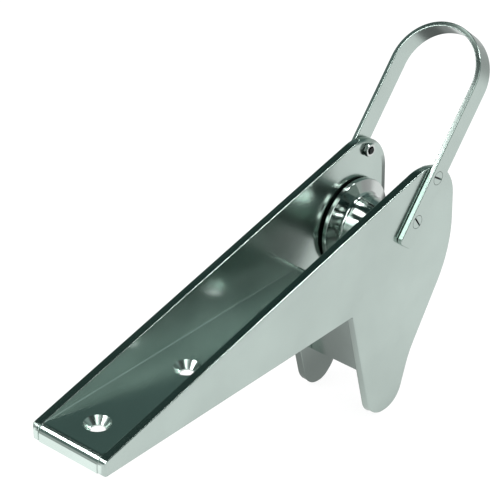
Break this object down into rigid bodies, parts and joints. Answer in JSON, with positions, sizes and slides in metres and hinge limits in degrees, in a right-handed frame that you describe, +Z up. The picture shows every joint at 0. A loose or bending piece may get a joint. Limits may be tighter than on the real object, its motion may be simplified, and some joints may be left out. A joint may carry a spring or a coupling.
{
  "type": "bow roller",
  "caption": "Stainless bow roller: two cheek plates with a folded floor, a spool roller on an axle between them and a strap bail screwed over the top",
  "frame": {"origin": "on the deck, on the centre plane, at the inboard end", "axes": "+X outboard over the bow, +Y to port, +Z up"},
  "size_m": [0.367, 0.0672, 0.2322],
  "materials": {
    "polished_stainless": "polished",
    "turned_stainless": "polished",
    "weld_metal": "satin",
    "bronze": "satin",
    "acetal": "satin"
  },
  "bodies": {
    "frame": {"starboard_cheek": "polished_stainless", "port_cheek": "polished_stainless", "floor_plate": "polished_stainless", "bail": "polished_stainless", "axle_pin": "turned_stainless", "thrust_washer_starboard": "acetal", "thrust_washer_port": "acetal", "bail_screw_starboard_lower": "turned_stainless", "bail_screw_starboard_upper": "turned_stainless", "bail_screw_port_lower": "turned_stainless", "bail_screw_port_upper": "turned_stainless", "bail_nut_starboard": "turned_stainless", "bail_nut_port": "turned_stainless", "apron_weld_starboard": "weld_metal", "apron_weld_port": "weld_metal", "floor_weld_starboard_1": "weld_metal", "floor_weld_starboard_2": "weld_metal", "floor_weld_starboard_3": "weld_metal", "floor_weld_starboard_4": "weld_metal", "floor_weld_port_1": "weld_metal", "floor_weld_port_2": "weld_metal", "floor_weld_port_3": "weld_metal", "floor_weld_port_4": "weld_metal"},
    "roller": {"roller": "turned_stainless", "roller_bush_starboard": "bronze", "roller_bush_port": "bronze"}
  },
  "joints": [
    {"name": "roller_spin", "type": "hinge", "parent": "frame", "child": "roller", "pos_m": [0.2832, 0, 0.0208], "axis": [0, 1, 0], "continuous": true}
  ]
}
